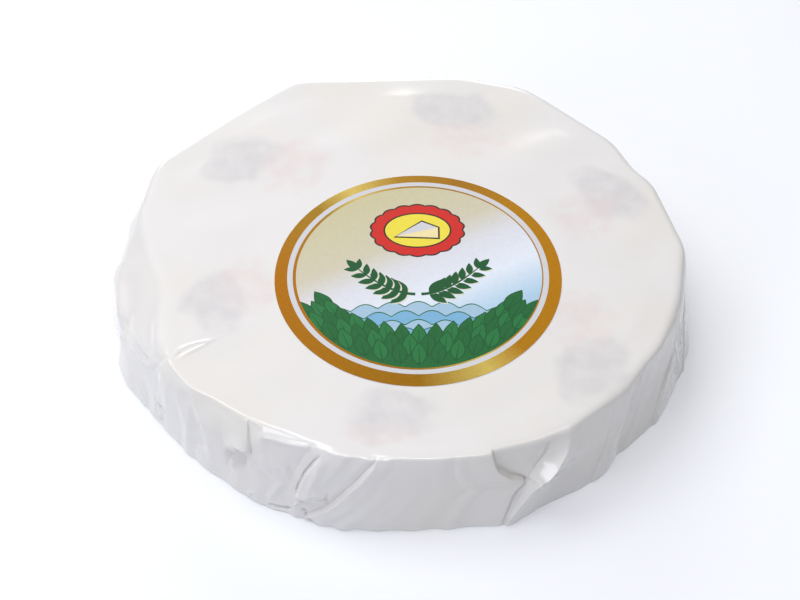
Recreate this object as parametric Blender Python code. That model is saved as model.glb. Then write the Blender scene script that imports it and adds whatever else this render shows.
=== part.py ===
# Brie: a whole wheel of soft cheese, shut in its folded paper wrapper, with a round label on top.
# Units are metres and +Z is up. The origin is on the ground, under the middle of the wheel.
# Angles round the wheel are in degrees from +X towards +Y, so 270 is the front.
# Sizes in the tables are in millimetres, and down is a share of the way from the top to the ground.

from collections import namedtuple
from math import cos, radians, sin
from random import Random

import bmesh
import bpy
import numpy as np

MM = 0.001
TURN = 360.0

# The wheel
HEIGHT = 36.4
SOLE_ROUNDING = 2.6

# The label, laid on the top a little off the middle
LABEL_RADIUS = 48.0
LABEL_THICKNESS = 0.4
LABEL_GAP = 0.3
LABEL_CENTRE = (4.6, -11.7)
LABEL_SIDES = 96

# How finely the paper is divided
COLUMN_STEP = 2.3
FOLD_WIDTH = 0.3
TOP_SHARES = (0.40, 0.72, 0.86, 0.94)
SOLE_SHARES = (0.80, 0.40)
WALL_ROWS = 9
ROUND_ROWS = 3

# The paper is drawn tight between its corners, so the outline is nearly straight from one to the next.
# Where the flat top ends: angle, radius
RIM_CORNERS = (
    (1, 94.6), (17, 92.7), (36, 91.2), (61.5, 93.0), (77, 90.7), (114.5, 95.8), (128, 93.2),
    (157, 97.6), (170, 93.2), (182, 84.6), (192, 81.2), (203, 87.4), (213, 91.2), (223, 91.0),
    (237, 87.4), (251, 86.0), (264, 88.2), (276, 88.8), (288, 90.8), (301, 94.2), (310, 91.2),
    (321, 91.5), (333, 92.4), (347, 92.8),
)
# Where the wall turns under: angle, radius
FOOT_CORNERS = (
    (0, 98.4), (20, 95.8), (40, 93.6), (62, 95.0), (84, 92.4), (114, 97.4), (135, 95.6),
    (157, 99.6), (178, 100.6), (191, 100.0), (203, 97.2), (215, 94.0), (228, 92.0), (239, 92.8),
    (248, 91.7), (257, 92.1), (270, 90.6), (281, 91.6), (291, 94.6), (300, 93.0), (312, 95.2),
    (319, 94.0), (330, 96.6), (345, 98.6),
)
# The bevel below the rim: angle, how far out and down it runs, how softly the rim and its lower edge bend
BEVELS = (
    (0, 2.6, 3.4, 2.2, 2.5), (30, 2.2, 2.8, 1.8, 1.8), (150, 2.2, 3.0, 1.8, 1.8),
    (170, 3.6, 4.5, 3.0, 3.0), (182, 12.4, 8.5, 5.0, 3.0), (192, 16.6, 10.0, 6.0, 3.0),
    (203, 8.0, 7.5, 5.0, 3.0), (212, 2.4, 3.6, 1.5, 2.0), (214, 2.0, 3.2, 0.8, 2.5),
    (237, 1.8, 3.4, 0.8, 2.5), (239, 2.4, 3.6, 0.8, 0.8), (254, 1.8, 1.9, 0.8, 0.8),
    (264, 1.2, 1.3, 1.0, 0.7), (287, 1.1, 1.1, 0.6, 0.6), (290, 2.6, 3.6, 2.5, 2.5),
    (302, 2.4, 3.6, 2.5, 3.0), (321, 2.4, 4.4, 3.0, 4.0), (345, 3.2, 4.4, 3.0, 3.0),
)

# A fold in the paper that runs down the wall. The path gives its angle, and left and right how far the
# paper on each side of it stands out from the plain wall, all at shares of the way down.
Fold = namedtuple("Fold", "path left right")
FRONT_FOLDS = (
    # The pinched corner where the sloping left shoulder ends
    Fold(((0, 213), (0.3, 210.5), (1, 208.5)),
         ((0, 0), (0.15, -1.0), (0.5, -0.5), (1, 0)),
         ((0, 0), (0.15, 0.4), (0.5, 0.5), (1, 0.3))),
    # A corner that laps over to the right and ends in a small flap
    Fold(((0, 238), (0.22, 238), (0.45, 236), (1, 233.5)),
         ((0, 0), (0.05, 0.8), (0.26, 1.0), (0.32, 0.2), (1, 0.2)),
         ((0, 0), (0.2, -0.2), (0.5, 0), (1, 0))),
    # The two long pleats of the front, which lap over to the left
    Fold(((0, 254.5), (0.04, 254), (0.17, 251), (0.42, 249), (0.64, 247), (1, 245.8)),
         ((0, 0), (0.1, -0.2), (1, -0.4)),
         ((0, 0), (0.04, 0.1), (0.2, 1.1), (0.66, 1.5), (0.72, -0.4), (1, 0.2))),
    Fold(((0, 264.5), (0.03, 264), (0.26, 261), (0.53, 258), (0.7, 254), (0.93, 249), (1, 248)),
         ((0, 0), (0.1, -0.4), (0.6, -0.6), (0.74, -1.2), (1, -0.4)),
         ((0, 0), (0.05, 0.3), (0.3, 1.2), (0.8, 1.4), (1, 0.8))),
    # The right end of the flat front, beside a pressed-in corner
    Fold(((0, 288), (0.15, 289.7), (0.38, 292.4), (0.55, 294), (0.7, 292.2), (0.86, 291), (1, 290.2)),
         ((0, 0.2), (0.38, 0.8), (0.6, 0.2), (1, -0.3)),
         ((0, -2.6), (0.38, -2.2), (0.75, -1.8), (1, -1.0))),
    # The ridge of gathered paper that stands out to the right of it
    Fold(((0, 301), (0.56, 296), (1, 291.8)),
         ((0, 0.8), (0.1, 1.6), (0.56, 2.2), (1, 1.0)),
         ((0, 0.8), (0.1, 1.6), (0.56, 2.2), (1, 1.0))),
    # Short pleats of the right side
    Fold(((0, 318), (0.6, 316.5), (1, 313)),
         ((0, 0), (0.6, 0), (0.85, 0.6), (1, 0.4)),
         ((0, 0), (0.6, 0), (0.85, -0.6), (1, -0.2))),
    Fold(((0, 337), (0.5, 335.5), (1, 333.5)),
         ((0, 0), (0.15, 0), (0.4, -0.6), (1, -0.3)),
         ((0, 0), (0.1, 0), (0.4, 1.0), (1, 0.6))),
    Fold(((0, 347), (0.5, 345), (1, 343)),
         ((0, 0), (0.3, -0.8), (1, -0.4)),
         ((0, 0), (0.3, 1.0), (1, 0.6))),
)

# The pleats that the front doesn't show are alike: where they start on the rim, and their ranges of size
BACK_PLEATS = (359, 13, 30, 47, 62, 80, 98, 115, 131, 147, 163, 180, 196)
PLEAT_LEAN = (-9.0, -5.0)
PLEAT_BEND = (0.8, 1.2)
PLEAT_START = (0.04, 0.14)
PLEAT_RISE = (0.9, 1.7)
PLEAT_TUCK = -0.3
PATH_SHARES = (0, 0.25, 0.5, 0.75, 1)
PLEAT_SEED = 11

# How far the swell beside a fold runs, in degrees
SWELL = 14.0

# A pressed-in or raised place on the wall: angle, place down the wall, half width, half height, push
Dent = namedtuple("Dent", "angle down wide tall push")
DENTS = (
    Dent(235.5, 0.42, 3.5, 0.14, -1.8),
    Dent(194, 0.22, 16.0, 0.10, -1.4),
    Dent(194, 0.36, 16.0, 0.09, 1.0),
    Dent(223, 0.55, 7.0, 0.40, -1.2),
    Dent(160, 0.45, 7.0, 0.25, -1.3),
    Dent(88, 0.50, 9.0, 0.30, -1.2),
    Dent(25, 0.40, 7.0, 0.30, -1.2),
    Dent(340, 0.40, 4.0, 0.30, -1.2),
)

# A crease across the top near the rim: angle, half width, how far in it runs, rise
Crease = namedtuple("Crease", "angle wide inward rise")
TOP_CREASES = (
    Crease(213, 2.4, 17.0, 1.1),
    Crease(207, 5.0, 13.0, -1.2),
    Crease(294, 7.0, 6.0, -0.9),
)


def clear_scene():
    for thing in list(bpy.data.objects):
        bpy.data.objects.remove(thing, do_unlink=True)


def paint(name, colour, roughness):
    """A plain non-metal material."""
    material = bpy.data.materials.new(name)
    material.use_nodes = True
    shader = material.node_tree.nodes["Principled BSDF"]
    shader.inputs["Base Color"].default_value = (*colour, 1.0)
    shader.inputs["Roughness"].default_value = roughness
    shader.inputs["Metallic"].default_value = 0.0
    return material


def along(points, down):
    """The value, at a share of the way down, of a line through (down, value) points."""
    return float(np.interp(down, *zip(*points)))


def chord(corners, angle):
    """The radius at an angle of the straight line between the corners on both sides of it."""
    first, second = corners[-1], (corners[0][0] + TURN, corners[0][1])
    angle = (angle - corners[0][0]) % TURN + corners[0][0]
    for before, after in zip(corners, corners[1:]):
        if before[0] <= angle < after[0]:
            first, second = before, after
    rest, past = radians(second[0] - angle), radians(angle - first[0])
    return sin(rest + past) / (sin(rest) / first[1] + sin(past) / second[1])


def outline(corners, angle, softness=1.4):
    """The straight-sided outline, with its corners a little rounded."""
    steps = (-2, -1, 0, 1, 2)
    return sum(chord(corners, angle + softness * step) for step in steps) / len(steps)


def bevel(angle):
    """How far out and down the bevel runs at an angle, and how softly its two edges bend."""
    angles, *columns = zip(*BEVELS)
    return [float(np.interp(angle, angles, column, period=TURN)) for column in columns]


def back_fold(rim, draw):
    """A knife pleat that grows from the rim down, leans to the left and laps over to the left."""
    lean = draw.uniform(*PLEAT_LEAN)
    bend = draw.uniform(*PLEAT_BEND)
    start = draw.uniform(*PLEAT_START)
    rise = draw.uniform(*PLEAT_RISE)
    path = tuple((down, rim + lean * down ** bend) for down in PATH_SHARES)
    tucked = ((0, 0), (start, 0), (1, PLEAT_TUCK))
    raised = ((0, 0), (start, 0), (start + 0.3, rise), (1, rise))
    return Fold(path, tucked, raised)


def all_folds():
    """Every fold round the wheel, in order of its angle at the rim."""
    draw = Random(PLEAT_SEED)
    folds = [back_fold(rim, draw) for rim in BACK_PLEATS]
    return sorted(folds + list(FRONT_FOLDS), key=lambda fold: fold.path[0][1])


def fall_off(distance):
    """One in the middle, nothing from a distance of one on, with straight sides like creased paper."""
    return max(0.0, 1.0 - abs(distance))


def apart(first, second):
    """The signed angle from the second to the first."""
    return (first - second + TURN / 2) % TURN - TURN / 2


def dent_relief(angle, down):
    """How far the pressed places push the wall out."""
    return sum(
        dent.push * fall_off(apart(angle, dent.angle) / dent.wide) * fall_off((down - dent.down) / dent.tall)
        for dent in DENTS
    )


def top_rise(angle, inward):
    """How far the creases lift the top, a distance in from the rim."""
    return sum(
        crease.rise * fall_off(apart(angle, crease.angle) / crease.wide) * fall_off(inward / crease.inward)
        for crease in TOP_CREASES
    )


def bend(before, corner, after, reach):
    """Points of a rounded corner: a curve that starts and ends a reach away from it."""
    before, corner, after = np.array(before), np.array(corner), np.array(after)
    start = corner + (before - corner) * min(reach / np.linalg.norm(before - corner), 0.45)
    end = corner + (after - corner) * min(reach / np.linalg.norm(after - corner), 0.45)
    shares = np.linspace(0, 1, ROUND_ROWS)
    return [(1 - t) ** 2 * start + 2 * t * (1 - t) * corner + t ** 2 * end for t in shares]


def profile(rim_angle, foot_angle):
    """Radius and height down one column of paper, from the rim to the sole, before any relief."""
    rim = outline(RIM_CORNERS, rim_angle)
    foot = outline(FOOT_CORNERS, foot_angle)
    out, drop, rim_softness, shoulder_softness = bevel(rim_angle)
    edge = (rim, HEIGHT)
    shoulder = (min(rim + out, foot), HEIGHT - drop)
    ground = (foot, 0.0)
    points = bend((0.0, HEIGHT), edge, shoulder, rim_softness)
    points += bend(edge, shoulder, ground, shoulder_softness)
    last = bend(shoulder, ground, (0.0, 0.0), SOLE_ROUNDING)
    start = points[-1]
    points += [start + (last[0] - start) * row / WALL_ROWS for row in range(1, WALL_ROWS)]
    return points + last


def place(angle, radius, height):
    """A point in metres from an angle and millimetres."""
    return (radius * MM * cos(radians(angle)), radius * MM * sin(radians(angle)), height * MM)


def column_points(fold, following, share):
    """The points of one column of paper, a share of the way from a fold to the following one."""
    wrap = TURN if following.path[0][1] < fold.path[0][1] else 0.0
    span = following.path[0][1] + wrap - fold.path[0][1] - FOLD_WIDTH

    def angle_at(down):
        start = along(fold.path, down) + FOLD_WIDTH / 2
        end = along(following.path, down) + wrap - FOLD_WIDTH / 2
        return start + (end - start) * share

    def relief_at(down):
        swell = along(fold.right, down) * fall_off(share * span / SWELL)
        swell += along(following.left, down) * fall_off((1 - share) * span / (SWELL / 2))
        return swell + dent_relief(angle_at(down), down)

    rim_angle, foot_angle = angle_at(0.0), angle_at(1.0)
    wall = profile(rim_angle, foot_angle)
    rim = wall[0][0]
    points = []
    for part in TOP_SHARES:
        inward = rim * (1 - part)
        points.append(place(rim_angle, rim * part, HEIGHT + top_rise(rim_angle, inward)))
    for radius, height in wall:
        down = 1 - height / HEIGHT
        firm = 0.35 + 0.65 * min(1.0, height / SOLE_ROUNDING)
        lift = top_rise(rim_angle, 0.0) * fall_off(down / 0.3)
        points.append(place(angle_at(down), radius + relief_at(down) * firm, height + lift))
    sole = wall[-1][0]
    for part in SOLE_SHARES:
        turned = (1 - part) / (1 - SOLE_SHARES[-1])
        points.append(place(foot_angle + (rim_angle - foot_angle) * turned, sole * part, 0.0))
    return points


def paper_columns():
    """Every column of paper round the wheel, with one close on each side of every fold."""
    folds = all_folds()
    columns = []
    for fold, following in zip(folds, folds[1:] + folds[:1]):
        span = (following.path[0][1] - fold.path[0][1]) % TURN
        count = max(2, round(span / COLUMN_STEP))
        columns += [column_points(fold, following, step / count) for step in range(count + 1)]
    return columns


def skin(name, columns, top, bottom):
    """A closed mesh object from columns of points and the two middle points."""
    form = bmesh.new()
    grid = [[form.verts.new(point) for point in column] for column in columns]
    top_middle = form.verts.new(top)
    bottom_middle = form.verts.new(bottom)
    for left, right in zip(grid, grid[1:] + grid[:1]):
        form.faces.new((top_middle, left[0], right[0]))
        form.faces.new((bottom_middle, right[-1], left[-1]))
        for row in range(len(left) - 1):
            form.faces.new((left[row], left[row + 1], right[row + 1], right[row]))
    bmesh.ops.triangulate(form, faces=form.faces[:])
    bmesh.ops.recalc_face_normals(form, faces=form.faces[:])
    return finished(name, form)


def finished(name, form):
    """The object of a finished form, shaded smooth up to its creases."""
    mesh = bpy.data.meshes.new(name)
    form.to_mesh(mesh)
    form.free()
    mesh.shade_smooth()
    mesh.set_sharp_from_angle(angle=radians(30))
    thing = bpy.data.objects.new(name, mesh)
    bpy.context.collection.objects.link(thing)
    return thing


def middle_of(columns):
    """The middle of the box round all the points, seen from above."""
    points = np.array(columns).reshape(-1, 3)
    return (points.min(axis=0) + points.max(axis=0))[:2] / 2


def make_wrapped_wheel(columns, middle):
    """The cheese with its paper drawn round it: one closed solid with a flat sole."""
    x, y = middle
    moved = [[(point[0] - x, point[1] - y, point[2]) for point in column] for column in columns]
    wheel = skin("wrapped_brie", moved, (-x, -y, HEIGHT * MM), (-x, -y, 0))
    wheel.data.materials.append(paint("coated_paper", (0.86, 0.85, 0.84), 0.4))


def make_label(middle):
    """The round sticker, lying on the flat top."""
    form = bmesh.new()
    bmesh.ops.create_cone(
        form, cap_ends=True, segments=LABEL_SIDES, radius1=LABEL_RADIUS * MM,
        radius2=LABEL_RADIUS * MM, depth=LABEL_THICKNESS * MM)
    label = finished("label", form)
    across, along_y = [value * MM - shift for value, shift in zip(LABEL_CENTRE, middle)]
    label.location = (across, along_y, (HEIGHT + LABEL_GAP + LABEL_THICKNESS / 2) * MM)
    label.data.materials.append(paint("printed_label", (0.62, 0.66, 0.60), 0.35))


clear_scene()
paper = paper_columns()
box_middle = middle_of(paper)
make_wrapped_wheel(paper, box_middle)
make_label(box_middle)
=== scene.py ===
# %% [markdown]
# A shut wheel of brie, wrapped and labelled
#
# A young brie is sold whole in a sheet of coated paper. The packer lays the sheet over the cheese,
# draws it down the side and folds what is left over into pleats, which go under the sole. A round
# sticker closes the show side. This lesson makes that paper as one fine mesh, lays the sticker on
# it, and lights the two softly on a pale floor.
#
# The first cell loads the solid model. Everything made here is fitted to it.

# %% Load the frame
from collections import namedtuple
from math import atan2, cos, pi, radians, sin
from random import Random

import bmesh
import bpy
import numpy as np
from mathutils import Matrix, Vector
from mathutils.geometry import delaunay_2d_cdt


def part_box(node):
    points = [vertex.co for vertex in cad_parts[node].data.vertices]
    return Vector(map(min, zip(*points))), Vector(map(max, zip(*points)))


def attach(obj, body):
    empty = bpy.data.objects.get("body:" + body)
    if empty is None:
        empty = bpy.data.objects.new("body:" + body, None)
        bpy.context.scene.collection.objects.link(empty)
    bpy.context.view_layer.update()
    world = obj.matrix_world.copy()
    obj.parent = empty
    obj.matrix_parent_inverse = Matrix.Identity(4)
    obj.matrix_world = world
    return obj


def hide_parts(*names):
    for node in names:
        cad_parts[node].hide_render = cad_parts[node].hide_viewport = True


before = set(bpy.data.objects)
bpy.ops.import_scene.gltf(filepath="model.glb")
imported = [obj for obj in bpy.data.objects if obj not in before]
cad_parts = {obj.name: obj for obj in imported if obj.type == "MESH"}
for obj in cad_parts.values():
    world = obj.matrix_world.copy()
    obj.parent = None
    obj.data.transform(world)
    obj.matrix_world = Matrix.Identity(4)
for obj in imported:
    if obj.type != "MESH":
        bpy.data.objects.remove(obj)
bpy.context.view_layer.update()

MM = 0.001
TURN = 360.0

# %% [markdown]
# Where the wheel lies
#
# The wheel's own tables count from the middle of the cheese. The solid model was slid a little, so
# that its box is centred. The label's box tells how far, because its place on the cheese is known.

# %% Line up with the solids
LABEL_CENTRE = (4.6, -11.7)
label_low, label_high = [np.array(corner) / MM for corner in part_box("label")]
slide = (label_low + label_high)[:2] / 2 - LABEL_CENTRE
print("the cheese's middle lies at", slide.round(2), "mm")


def to_world(angle, radius, height):
    """Points in metres, from degrees and millimetres round the cheese's middle."""
    x = radius * np.cos(np.radians(angle)) + slide[0]
    y = radius * np.sin(np.radians(angle)) + slide[1]
    return np.stack([x, y, height], axis=-1) * MM


def put_in_scene(name, data):
    """A new object that shows some data, such as a mesh or a lamp."""
    thing = bpy.data.objects.new(name, data)
    bpy.context.collection.objects.link(thing)
    return thing


# %% [markdown]
# The outline of tight paper
#
# Paper can't stretch. Pulled tight over a round cheese it makes flats between corners, so the
# outline is a soft polygon and not a circle. One could model the polygon by hand. Here two short
# tables hold its corners, one for the rim and one for the foot, and a formula draws the straight
# line between two corners as a radius for any angle. A small average rounds each corner.

# %% Outline tables
HEIGHT = 36.4
SOLE_ROUNDING = 1.6
RIM_CORNERS = (
    (1, 95), (13, 92), (21, 92.4), (26, 89.6), (36, 91.3), (61.5, 93.2), (77, 90.9), (114.5, 95.7),
    (130, 92.2), (153, 97.3), (169, 92.8), (182, 84.6), (192, 81.2), (203, 87.4), (213, 91.2),
    (221, 91.6), (225, 88.9), (235, 87.9), (241.5, 86.2), (245.5, 86), (250, 86.8), (254.5, 86.6),
    (262.3, 85.6), (265, 88.6), (276, 89.4), (287, 91.3), (299, 93.6), (310, 92.8), (321, 93.4),
    (334, 94.4), (347, 94),
)
FOOT_CORNERS = (
    (0, 98.6), (20, 95.8), (40, 93.6), (62, 95), (84, 92.4), (114, 97.4), (135, 95.6), (157, 99.6),
    (170, 101), (176, 102.4), (182, 100.4), (187, 99.2), (195, 99.3), (203, 95.7), (214, 93.2),
    (222, 92.6), (228, 91.7), (239, 92.8), (248, 91.7), (257, 92.1), (270, 90.4), (281, 91.1),
    (291, 94.4), (301, 92), (308, 93.3), (314, 94), (319, 92.4), (327, 94.8), (334, 96.3),
    (345, 97.8), (352, 99.2),
)
# How far the average that rounds a corner reaches, in degrees
RIM_SOFTNESS = 1.1
FOOT_SOFTNESS = 0.6
# The foot's edge is crimped every few millimetres, by up to this much
CRIMPS = 150
CRIMP = 0.4
CRIMP_SEED = 2
# Angle, how far out and down the bevel runs, and how far the bends of its two edges reach: above
# and below the rim, then above and below the bevel's lower edge. A short reach above makes a
# crisp line.
BEVELS = (
    (0, 0.9, 2.6, 2.4, 2.6, 1.8, 3), (30, 0.8, 2.4, 2.4, 2.4, 1.5, 3),
    (150, 0.8, 2.4, 2.4, 2.4, 1.5, 3), (165, 2.4, 4, 3, 3, 3, 3), (172, 5.6, 5.4, 3, 3, 3, 3),
    (182, 13.8, 8.8, 3, 3, 4, 4), (192, 16.6, 10, 3, 3, 4, 4), (203, 8, 7.5, 3, 4, 3, 3),
    (212, 2.4, 3.6, 1.5, 1.5, 2, 4), (216, 3.6, 9, 0.8, 3, 5, 8), (235.5, 3.6, 9, 0.8, 3, 5, 8),
    (239, 3.4, 3.2, 0.8, 1, 0.8, 6), (246, 2.8, 2.5, 0.8, 1, 0.8, 6),
    (251, 1.7, 1.5, 0.8, 0.9, 0.8, 6), (253.5, 2.4, 0.6, 0.8, 0.9, 0.6, 6),
    (256.4, 3.6, 0.2, 1, 1, 0.7, 6), (258.5, 4.2, 0.2, 1, 1, 0.7, 6),
    (262.3, 3.8, 0.3, 1, 1, 0.7, 6), (263.6, 3.1, 0.5, 1, 0.9, 0.7, 6),
    (265.4, 1.9, 0.8, 0.8, 0.9, 1, 7), (268, 0.8, 1.8, 0.8, 0.9, 1.2, 7),
    (286, 0.8, 2.2, 0.8, 1.2, 1.5, 8), (289, 0.6, 4, 2.8, 2.8, 1, 4), (298, 0.6, 4, 3, 3, 1, 4),
    (302, 1.8, 5, 3.4, 4, 4, 6), (321, 1.8, 5.5, 4, 4.5, 4.5, 8), (345, 1.6, 4, 3, 3.4, 2, 5),
)
print(len(RIM_CORNERS), "corners at the rim and", len(FOOT_CORNERS), "at the foot")

# %% Outline formulas


def chord(corners, angle):
    """The radius at an angle of the straight line between the corners on both sides of it."""
    first, second = corners[-1], (corners[0][0] + TURN, corners[0][1])
    angle = (angle - corners[0][0]) % TURN + corners[0][0]
    for before, after in zip(corners, corners[1:]):
        if before[0] <= angle < after[0]:
            first, second = before, after
    rest, past = radians(second[0] - angle), radians(angle - first[0])
    return sin(rest + past) / (sin(rest) / first[1] + sin(past) / second[1])


def outline(corners, angle, softness):
    """The straight-sided outline, with its corners a little rounded."""
    steps = (-2, -1, 0, 1, 2)
    return sum(chord(corners, angle + softness * step) for step in steps) / len(steps)


def bevel(angle):
    """How far out and down the bevel runs at an angle, and the four reaches of its bends."""
    angles, *columns = zip(*BEVELS)
    return [float(np.interp(angle, angles, column, period=TURN)) for column in columns]


def crimp(angle):
    """How far the foot's edge is pinched in or out at an angle, where the paper turns under."""
    draw = Random(CRIMP_SEED)
    marks = [draw.uniform(-CRIMP, CRIMP) for _ in range(CRIMPS)]
    return float(np.interp(angle * CRIMPS / TURN, range(CRIMPS), marks, period=CRIMPS))


print("rim radius at the front:", round(outline(RIM_CORNERS, 270, RIM_SOFTNESS), 1), "mm")

# %% [markdown]
# The pleats
#
# Where the round shrinks towards the sole there is paper to spare, and the packer's thumb lays it
# over in pleats. A knife pleat is three layers deep: the top layer ends in a folded edge, and the
# sheet runs back under it. A soft pleat is pressed down to a slope. Each fold here has a path down
# the wall and the level of the paper on its two sides. The mesh follows the path, so the edge stays
# as sharp as a real one, which a bump pattern over a round wall couldn't do.

# %% Layers of a pleat
Layer = namedtuple("Layer", "tuck lip level depth")
# The layers in order: how far each lies under the edge or back over it, as shares of the tuck and
# of the lip, its level, and how deep it lies in the sole. A knife pleat is open under its edge. A
# soft one is pressed down to a slope.
KNIFE = (
    Layer(1, 0, 0, 1), Layer(1, 0, 0.2, 0.7), Layer(0.15, 0, 0.25, 0.6),
    Layer(0, 0, 0.5, 0.45), Layer(0, 0.3, 0.82, 0.3), Layer(0, 0.65, 0.96, 0.15),
)
SOFT = (
    Layer(0.06, 0, 0, 1), Layer(0, 0.02, 0.06, 0.8), Layer(0, 0.12, 0.2, 0.6),
    Layer(0, 0.33, 0.45, 0.45), Layer(0, 0.62, 0.78, 0.3), Layer(0, 0.85, 0.95, 0.15),
)
# A ledge bends softly at its top and at its bottom
LEDGE = (
    Layer(0, 0, 0, 1), Layer(0, 0.07, 0.03, 0.8), Layer(0, 0.25, 0.16, 0.6),
    Layer(0, 0.48, 0.45, 0.45), Layer(0, 0.72, 0.78, 0.3), Layer(0, 0.9, 0.96, 0.15),
)
# A fold's path, its levels left and right and its lip are values against the share of the way
# down: the angle, the level of the paper in millimetres, and how far the upper edge is rounded.
# Step is the spacing in degrees of the columns that follow the fold: fine where the paper is busy.
Fold = namedtuple("Fold", "path left right layers lip step",
                  defaults=(KNIFE, ((0, 1.3), (1, 1.3)), 0.95))
FLAT = ((0, 0), (1, 0))
print("a pleat has", len(KNIFE), "layers")

# %% Folds of the left shoulder
LEFT_FOLDS = (
    # The pinched corner where the sloping left shoulder ends, and finer columns before it
    Fold(((0, 205.5), (1, 200.5)), FLAT, FLAT, step=0.34),
    Fold(((0, 213), (0.3, 210.5), (1, 208.5)), FLAT, FLAT, step=0.34),
    # A corner that laps over to the right and ends in a small flap
    Fold(((0, 235.2), (0.1, 236.2), (0.23, 237), (0.3, 237.4), (0.5, 236.5), (1, 235)),
         ((0, 0), (0.04, 0.3), (0.1, 0.6), (0.29, 0.7), (0.33, 0), (1, 0)),
         ((0, 0), (0.1, -0.2), (0.3, -0.2), (0.4, 0), (1, 0)), SOFT, ((0, 0.7), (1, 0.7)), 0.26),
)
print(len(LEFT_FOLDS), "folds at the left")

# %% Long pleats of the front
LONG_PLEATS = (
    # The two lap over to the left
    Fold(((0, 254.4), (0.06, 253), (0.15, 251.6), (0.32, 249.5), (0.5, 248), (0.66, 247.1),
          (0.84, 246.2), (1, 246)),
         ((0, 0), (0.06, 0), (0.16, -0.3), (1, -0.4)),
         ((0, 0), (0.06, 0.1), (0.15, 1), (0.3, 1.5), (0.64, 1.5), (0.7, 0.2), (1, 0.1)),
         step=0.28),
    Fold(((0, 264.4), (0.08, 263.1), (0.16, 261.9), (0.25, 260.7), (0.35, 259.3), (0.45, 257.8),
          (0.55, 256.4), (0.65, 254.9), (0.75, 253), (0.83, 251), (0.9, 249.3), (1, 248.3)),
         ((0, 0), (0.08, -0.3), (0.4, -0.4), (0.7, -0.7), (0.8, -0.4), (1, -0.4)),
         ((0, 0), (0.05, 0.3), (0.12, 0.8), (0.4, 1.1), (0.7, 1.2), (0.85, 0.9), (1, 0.6)), LEDGE,
         ((0, 1.2), (1, 1.2)), 0.45),
)
print(len(LONG_PLEATS), "long pleats")

# %% Pressed-in corner
# The floor of the pressed-in corner lies deep near the rim and comes up towards the foot
HOLLOW = ((0, -1), (0.12, -1.9), (0.28, -2.1), (0.38, -1.9), (0.46, -1.4), (0.5, -1.2),
          (0.56, -1.1), (1, -0.4))
# The ridge to the right of it stands out most a third of the way down
RIDGE = ((0, 0), (0.08, 0.2), (0.2, 2.1), (0.3, 3.9), (0.38, 4.2), (0.48, 2.8), (0.56, 1.6),
         (1, 0.5))
CORNER_FOLDS = (
    # The right end of the flat front, which turns in over the corner
    Fold(((0, 287.7), (0.17, 288.4), (0.26, 289.2), (0.32, 290.4), (0.39, 291.7), (0.43, 293.2),
          (0.475, 294.6), (0.5, 294.4), (0.54, 293), (0.6, 292), (0.8, 290.8), (0.9, 289.9),
          (1, 289.4)),
         ((0, 0), (0.3, 0.1), (0.5, 0.3), (0.6, 0.2), (1, 0.1)),
         ((0, -1), (0.12, -2), (0.28, -2.3), (0.4, -2.1), (0.46, -1.7), (0.5, -1.2),
          (0.56, -1.2), (1, -0.6)),
         LEDGE, ((0, 1), (0.3, 1.2), (0.46, 1.2), (0.53, 1), (1, 1)), 0.34),
    # Where the corner's floor turns up into the ridge
    Fold(((0, 299.9), (0.15, 299.3), (0.22, 298.6), (0.28, 297.4), (0.35, 296.2), (0.42, 295),
          (0.475, 295.1), (0.54, 294.3), (0.7, 292.6), (0.9, 290.3), (1, 289.9)),
         HOLLOW, HOLLOW, step=0.3),
    # The sharp ridge of gathered paper that stands out to the right of it
    Fold(((0, 304), (0.13, 303.1), (0.2, 302.2), (0.24, 300.8), (0.29, 299.6), (0.4, 296.9),
          (0.5, 295.6), (0.61, 294.2), (0.8, 291.8), (0.9, 290.5), (1, 290.1)),
         RIDGE, RIDGE, step=0.5),
)
print(len(CORNER_FOLDS), "folds round the corner")

# %% Short pleats of the right side
RIGHT_FOLDS = (
    Fold(((0, 316), (0.55, 313.7), (0.7, 312.7), (0.84, 311.6), (1, 310.4)),
         ((0, 0), (0.5, 0), (0.7, -0.2), (1, -0.2)), ((0, 0), (0.5, 0), (0.65, 0.3), (1, 0.4)),
         SOFT, step=0.6),
    Fold(((0, 342), (0.2, 340.5), (0.4, 338), (0.53, 334.9), (0.61, 333), (0.72, 332.3),
          (0.81, 331), (1, 330)),
         ((0, 0), (0.3, 0), (0.5, -0.2), (1, -0.2)),
         ((0, 0), (0.3, 0.1), (0.45, 0.6), (0.8, 0.8), (1, 0.6)), SOFT, step=0.5),
    Fold(((0, 350), (0.5, 348), (1, 345.5)),
         ((0, 0), (0.3, -0.1), (1, -0.1)), ((0, 0), (0.3, 0.3), (1, 0.4)), SOFT),
)
print(len(RIGHT_FOLDS), "short pleats")

# %% Pleats of the back
# Angles at the rim, then what each pleat draws: how far it leans and bends on its way down, where
# it starts, and how high it rises
BACK_PLEATS = (14, 30, 47, 62, 80, 98, 115, 131, 147, 163, 180, 196)
PLEAT_LEAN = (-9.0, -5.0)
PLEAT_BEND = (0.8, 1.2)
PLEAT_START = (0.04, 0.14)
PLEAT_RISE = (0.9, 1.7)
PLEAT_GROWTH = 0.3
PLEAT_TUCK = -0.3
PATH_SHARES = (0, 0.25, 0.5, 0.75, 1)
PLEAT_SEED = 11


def back_fold(rim, draw):
    """A knife pleat that grows from the rim down, leans to the left and laps over to the left."""
    lean = draw.uniform(*PLEAT_LEAN)
    bend = draw.uniform(*PLEAT_BEND)
    start = draw.uniform(*PLEAT_START)
    rise = draw.uniform(*PLEAT_RISE)
    path = tuple((down, rim + lean * down ** bend) for down in PATH_SHARES)
    tucked = ((0, 0), (start, 0), (1, PLEAT_TUCK))
    raised = ((0, 0), (start, 0), (start + PLEAT_GROWTH, rise), (1, rise))
    return Fold(path, tucked, raised)


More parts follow.
